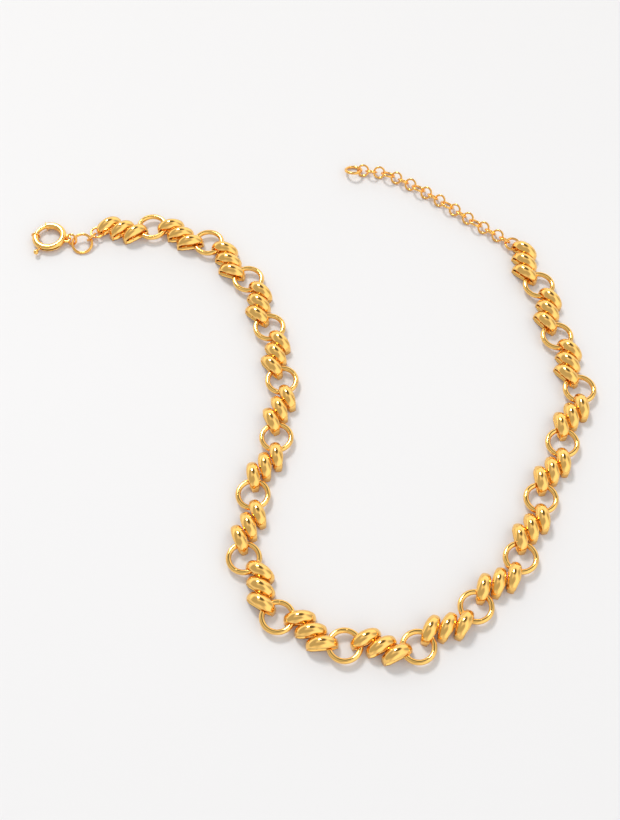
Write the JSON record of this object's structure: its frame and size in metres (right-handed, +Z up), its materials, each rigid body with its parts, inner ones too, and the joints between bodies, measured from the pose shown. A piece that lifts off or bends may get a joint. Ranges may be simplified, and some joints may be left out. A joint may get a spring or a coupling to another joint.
{
  "type": "chain necklace",
  "caption": "Gold-plated chain necklace of domed oblique links in groups of three between round wire rings, with a bolt-ring clasp and an extender chain.",
  "frame": {"origin": "under the middle of the laid-out necklace, on the surface that it lies on", "axes": "+Z up from the surface, +Y towards the two ends of the chain, +X from the clasp arm to the extender arm"},
  "size_m": [0.182, 0.18, 0.0052],
  "materials": {
    "polished_gold_links": "polished gold plate",
    "polished_gold_rings": "polished gold plate",
    "gold_clasp": "polished gold plate",
    "gold_wire": "polished gold plate",
    "spring_steel": "drawn wire"
  },
  "bodies": {
    "links_01": {"domed_links_01": "polished_gold_links"},
    "links_02": {"domed_links_02": "polished_gold_links"},
    "links_03": {"domed_links_03": "polished_gold_links"},
    "links_04": {"domed_links_04": "polished_gold_links"},
    "links_05": {"domed_links_05": "polished_gold_links"},
    "links_06": {"domed_links_06": "polished_gold_links"},
    "links_07": {"domed_links_07": "polished_gold_links"},
    "links_08": {"domed_links_08": "polished_gold_links"},
    "links_09": {"domed_links_09": "polished_gold_links"},
    "links_10": {"domed_links_10": "polished_gold_links"},
    "links_11": {"domed_links_11": "polished_gold_links"},
    "links_12": {"domed_links_12": "polished_gold_links"},
    "links_13": {"domed_links_13": "polished_gold_links"},
    "links_14": {"domed_links_14": "polished_gold_links"},
    "links_15": {"domed_links_15": "polished_gold_links"},
    "links_16": {"domed_links_16": "polished_gold_links"},
    "links_17": {"domed_links_17": "polished_gold_links"},
    "links_18": {"domed_links_18": "polished_gold_links"},
    "links_19": {"domed_links_19": "polished_gold_links"},
    "ring_01": {"round_ring_01": "polished_gold_rings"},
    "ring_02": {"round_ring_02": "polished_gold_rings"},
    "ring_03": {"round_ring_03": "polished_gold_rings"},
    "ring_04": {"round_ring_04": "polished_gold_rings"},
    "ring_05": {"round_ring_05": "polished_gold_rings"},
    "ring_06": {"round_ring_06": "polished_gold_rings"},
    "ring_07": {"round_ring_07": "polished_gold_rings"},
    "ring_08": {"round_ring_08": "polished_gold_rings"},
    "ring_09": {"round_ring_09": "polished_gold_rings"},
    "ring_10": {"round_ring_10": "polished_gold_rings"},
    "ring_11": {"round_ring_11": "polished_gold_rings"},
    "ring_12": {"round_ring_12": "polished_gold_rings"},
    "ring_13": {"round_ring_13": "polished_gold_rings"},
    "ring_14": {"round_ring_14": "polished_gold_rings"},
    "ring_15": {"round_ring_15": "polished_gold_rings"},
    "ring_16": {"round_ring_16": "polished_gold_rings"},
    "ring_17": {"round_ring_17": "polished_gold_rings"},
    "ring_18": {"round_ring_18": "polished_gold_rings"},
    "joining_jump_ring": {"joining_jump_ring": "gold_wire"},
    "small_jump_ring": {"small_jump_ring": "gold_wire"},
    "plain_ring": {"plain_ring": "gold_wire"},
    "clasp_jump_ring": {"clasp_jump_ring": "gold_wire"},
    "clasp": {"clasp_body": "gold_clasp", "clasp_collars": "gold_clasp", "clasp_spring": "spring_steel"},
    "bolt": {"clasp_bolt": "gold_clasp"},
    "extender_joining_ring": {"extender_joining_ring": "gold_wire"},
    "extender_run_1": {"extender_run_1": "gold_wire"},
    "extender_ring_1": {"extender_ring_1": "gold_wire"},
    "extender_run_2": {"extender_run_2": "gold_wire"},
    "extender_ring_2": {"extender_ring_2": "gold_wire"},
    "extender_run_3": {"extender_run_3": "gold_wire"},
    "extender_ring_3": {"extender_ring_3": "gold_wire"},
    "extender_run_4": {"extender_run_4": "gold_wire"},
    "extender_ring_4": {"extender_ring_4": "gold_wire"},
    "extender_run_5": {"extender_run_5": "gold_wire"},
    "extender_end_ring": {"extender_end_ring": "gold_wire"}
  },
  "joints": [
    {"name": "ring_10_tilt", "type": "hinge", "parent": "links_10", "child": "ring_10", "pos_m": [0.00749, -0.08411, 0.00205], "axis": [-0.0742, -0.9972, 0], "range_deg": [-20, 20]},
    {"name": "links_11_bend", "type": "hinge", "parent": "ring_10", "child": "links_11", "pos_m": [0.0119, -0.08444, 0.00205], "axis": [0, 0, 1], "range_deg": [-83, 28]},
    {"name": "ring_11_tilt", "type": "hinge", "parent": "links_11", "child": "ring_11", "pos_m": [0.02801, -0.08621, 0.00205], "axis": [-0.3214, 0.9469, 0], "range_deg": [-20, 20]},
    {"name": "links_12_bend", "type": "hinge", "parent": "ring_11", "child": "links_12", "pos_m": [0.0322, -0.08479, 0.00205], "axis": [0, 0, -1], "range_deg": [-18, 96]},
    {"name": "ring_12_tilt", "type": "hinge", "parent": "links_12", "child": "ring_12", "pos_m": [0.04627, -0.07676, 0.00205], "axis": [0.8166, -0.5772, 0], "range_deg": [-20, 20]},
    {"name": "links_13_bend", "type": "hinge", "parent": "ring_12", "child": "links_13", "pos_m": [0.04883, -0.07315, 0.00205], "axis": [0, 0, 1], "range_deg": [-72, 18]},
    {"name": "ring_13_tilt", "type": "hinge", "parent": "links_13", "child": "ring_13", "pos_m": [0.06093, -0.06236, 0.00205], "axis": [-0.9188, 0.3948, 0], "range_deg": [-20, 20]},
    {"name": "links_14_bend", "type": "hinge", "parent": "ring_13", "child": "links_14", "pos_m": [0.06267, -0.0583, 0.00205], "axis": [0, 0, -1], "range_deg": [-17, 81]},
    {"name": "ring_14_tilt", "type": "hinge", "parent": "links_14", "child": "ring_14", "pos_m": [0.0701, -0.0439, 0.00205], "axis": [0.9992, -0.0393, 0], "range_deg": [-20, 20]},
    {"name": "links_15_bend", "type": "hinge", "parent": "ring_14", "child": "links_15", "pos_m": [0.07028, -0.03948, 0.00205], "axis": [0, 0, 1], "range_deg": [-58, 18]},
    {"name": "ring_15_tilt", "type": "hinge", "parent": "links_15", "child": "ring_15", "pos_m": [0.0782, -0.02534, 0.00205], "axis": [-0.9972, 0.0742, 0], "range_deg": [-20, 20]},
    {"name": "links_16_bend", "type": "hinge", "parent": "ring_15", "child": "links_16", "pos_m": [0.07853, -0.02094, 0.00205], "axis": [0, 0, -1], "range_deg": [-21, 63]},
    {"name": "ring_16_tilt", "type": "hinge", "parent": "links_16", "child": "ring_16", "pos_m": [0.08571, -0.0064, 0.00205], "axis": [0.9998, -0.0219, 0], "range_deg": [-20, 20]},
    {"name": "links_17_bend", "type": "hinge", "parent": "ring_16", "child": "links_17", "pos_m": [0.08581, -0.00198, 0.00205], "axis": [0, 0, 1], "range_deg": [-95, 25]},
    {"name": "ring_17_tilt", "type": "hinge", "parent": "links_17", "child": "ring_17", "pos_m": [0.08335, 0.01404, 0.00205], "axis": [-0.8315, -0.5555, 0], "range_deg": [-20, 20]},
    {"name": "links_18_bend", "type": "hinge", "parent": "ring_17", "child": "links_18", "pos_m": [0.0809, 0.01771, 0.00205], "axis": [0, 0, -1], "range_deg": [-29, 57]},
    {"name": "ring_18_tilt", "type": "hinge", "parent": "links_18", "child": "ring_18", "pos_m": [0.07928, 0.03384, 0.00205], "axis": [0.8594, 0.5112, 0], "range_deg": [-20, 20]},
    {"name": "links_19_bend", "type": "hinge", "parent": "ring_18", "child": "links_19", "pos_m": [0.07702, 0.03764, 0.00205], "axis": [0, 0, 1], "range_deg": [-71, 49]},
    {"name": "ring_09_tilt", "type": "hinge", "parent": "links_10", "child": "ring_09", "pos_m": [-0.00224, -0.07651, 0.00205], "axis": [0.0742, 0.9972, 0], "range_deg": [-20, 20]},
    {"name": "links_09_bend", "type": "hinge", "parent": "ring_09", "child": "links_09", "pos_m": [-0.00664, -0.07618, 0.00205], "axis": [0, 0, 1], "range_deg": [-23, 97]},
    {"name": "ring_08_tilt", "type": "hinge", "parent": "links_09", "child": "ring_08", "pos_m": [-0.01316, -0.06134, 0.00205], "axis": [-0.6594, -0.7518, 0], "range_deg": [-20, 20]},
    {"name": "links_08_bend", "type": "hinge", "parent": "ring_08", "child": "links_08", "pos_m": [-0.01649, -0.05843, 0.00205], "axis": [0, 0, -1], "range_deg": [-95, 25]},
    {"name": "ring_07_tilt", "type": "hinge", "parent": "links_08", "child": "ring_07", "pos_m": [-0.01331, -0.04253, 0.00205], "axis": [0.9714, 0.2376, 0], "range_deg": [-20, 20]},
    {"name": "links_07_bend", "type": "hinge", "parent": "ring_07", "child": "links_07", "pos_m": [-0.01436, -0.03824, 0.00205], "axis": [0, 0, 1], "range_deg": [-47, 73]},
    {"name": "ring_06_tilt", "type": "hinge", "parent": "links_07", "child": "ring_06", "pos_m": [-0.0077, -0.02346, 0.00205], "axis": [-0.9999, -0.013, 0], "range_deg": [-20, 20]},
    {"name": "links_06_bend", "type": "hinge", "parent": "ring_06", "child": "links_06", "pos_m": [-0.00775, -0.01904, 0.00205], "axis": [0, 0, -1], "range_deg": [-45, 50]},
    {"name": "ring_05_tilt", "type": "hinge", "parent": "links_06", "child": "ring_05", "pos_m": [-0.00514, -0.00305, 0.00205], "axis": [0.9625, 0.2714, 0], "range_deg": [-20, 20]},
    {"name": "links_05_bend", "type": "hinge", "parent": "ring_05", "child": "links_05", "pos_m": [-0.00634, 0.00121, 0.00205], "axis": [0, 0, 1], "range_deg": [-50, 44]},
    {"name": "ring_04_tilt", "type": "hinge", "parent": "links_05", "child": "ring_04", "pos_m": [-0.00823, 0.0173, 0.00205], "axis": [-0.8504, -0.5262, 0], "range_deg": [-20, 20]},
    {"name": "links_04_bend", "type": "hinge", "parent": "ring_04", "child": "links_04", "pos_m": [-0.01056, 0.02106, 0.00205], "axis": [0, 0, -1], "range_deg": [-51, 69]},
    {"name": "ring_03_tilt", "type": "hinge", "parent": "links_04", "child": "ring_03", "pos_m": [-0.01495, 0.03667, 0.00205], "axis": [0.7576, 0.6527, 0], "range_deg": [-20, 20]},
    {"name": "links_03_bend", "type": "hinge", "parent": "ring_03", "child": "links_03", "pos_m": [-0.01783, 0.04001, 0.00205], "axis": [0, 0, 1], "range_deg": [-81, 39]},
    {"name": "ring_02_tilt", "type": "hinge", "parent": "links_03", "child": "ring_02", "pos_m": [-0.02752, 0.05301, 0.00205], "axis": [-0.4734, -0.8809, 0], "range_deg": [-20, 20]},
    {"name": "links_02_bend", "type": "hinge", "parent": "ring_02", "child": "links_02", "pos_m": [-0.03142, 0.0551, 0.00205], "axis": [0, 0, -1], "range_deg": [-31, 89]},
    {"name": "ring_01_tilt", "type": "hinge", "parent": "links_02", "child": "ring_01", "pos_m": [-0.04619, 0.06177, 0.00205], "axis": [-0.013, 0.9999, 0], "range_deg": [-20, 20]},
    {"name": "links_01_bend", "type": "hinge", "parent": "ring_01", "child": "links_01", "pos_m": [-0.05061, 0.06171, 0.00205], "axis": [0, 0, 1], "range_deg": [-85, 35]},
    {"name": "joining_jump_ring_swing", "type": "hinge", "parent": "links_01", "child": "joining_jump_ring", "pos_m": [-0.06877, 0.05988, 0.00162], "axis": [0, 0, 1], "range_deg": [-20, 20]},
    {"name": "small_jump_ring_swing", "type": "hinge", "parent": "joining_jump_ring", "child": "small_jump_ring", "pos_m": [-0.06995, 0.05854, 0.0016], "axis": [0, 0, -1], "range_deg": [-20, 20]},
    {"name": "plain_ring_swing", "type": "hinge", "parent": "small_jump_ring", "child": "plain_ring", "pos_m": [-0.07143, 0.05671, 0.0016], "axis": [0, 0, 1], "range_deg": [-20, 20]},
    {"name": "clasp_jump_ring_swing", "type": "hinge", "parent": "plain_ring", "child": "clasp_jump_ring", "pos_m": [-0.07618, 0.05621, 0.0016], "axis": [0, 0, -1], "range_deg": [-20, 20]},
    {"name": "clasp_swing", "type": "hinge", "parent": "clasp_jump_ring", "child": "clasp", "pos_m": [-0.07835, 0.05709, 0.0016], "axis": [0, 0, 1], "range_deg": [-20, 20]},
    {"name": "bolt_slide", "type": "hinge", "parent": "clasp", "child": "bolt", "pos_m": [-0.08492, 0.05801, 0.00153], "axis": [0, 0, 1], "range_deg": [0, 64], "deforming": ["clasp_spring"]},
    {"name": "extender_joining_ring_swing", "type": "hinge", "parent": "links_19", "child": "extender_joining_ring", "pos_m": [0.07026, 0.05459, 0.00165], "axis": [0, 0, 1], "range_deg": [-20, 20]},
    {"name": "extender_run_1_swing", "type": "hinge", "parent": "extender_joining_ring", "child": "extender_run_1", "pos_m": [0.06852, 0.05593, 0.00162], "axis": [0, 0, -1], "range_deg": [-20, 20]},
    {"name": "extender_ring_1_swing", "type": "hinge", "parent": "extender_run_1", "child": "extender_ring_1", "pos_m": [0.05966, 0.0626, 0.00162], "axis": [0, 0, 1], "range_deg": [-30, 30]},
    {"name": "extender_run_2_swing", "type": "hinge", "parent": "extender_ring_1", "child": "extender_run_2", "pos_m": [0.05686, 0.06487, 0.00162], "axis": [0, 0, -1], "range_deg": [-30, 30]},
    {"name": "extender_ring_2_swing", "type": "hinge", "parent": "extender_run_2", "child": "extender_ring_2", "pos_m": [0.05052, 0.07038, 0.00162], "axis": [0, 0, 1], "range_deg": [-30, 30]},
    {"name": "extender_run_3_swing", "type": "hinge", "parent": "extender_ring_2", "child": "extender_run_3", "pos_m": [0.04777, 0.07269, 0.00162], "axis": [0, 0, -1], "range_deg": [-30, 30]},
    {"name": "extender_ring_3_swing", "type": "hinge", "parent": "extender_run_3", "child": "extender_ring_3", "pos_m": [0.04115, 0.07786, 0.00162], "axis": [0, 0, 1], "range_deg": [-30, 30]},
    {"name": "extender_run_4_swing", "type": "hinge", "parent": "extender_ring_3", "child": "extender_run_4", "pos_m": [0.0382, 0.07993, 0.00162], "axis": [0, 0, -1], "range_deg": [-30, 30]},
    {"name": "extender_ring_4_swing", "type": "hinge", "parent": "extender_run_4", "child": "extender_ring_4", "pos_m": [0.03107, 0.08438, 0.00162], "axis": [0, 0, 1], "range_deg": [-30, 30]},
    {"name": "extender_run_5_swing", "type": "hinge", "parent": "extender_ring_4", "child": "extender_run_5", "pos_m": [0.02779, 0.08585, 0.00162], "axis": [0, 0, -1], "range_deg": [-30, 30]},
    {"name": "extender_end_ring_swing", "type": "hinge", "parent": "extender_run_5", "child": "extender_end_ring", "pos_m": [0.01963, 0.08714, 0.00162], "axis": [0, 0, 1], "range_deg": [-30, 30]}
  ]
}
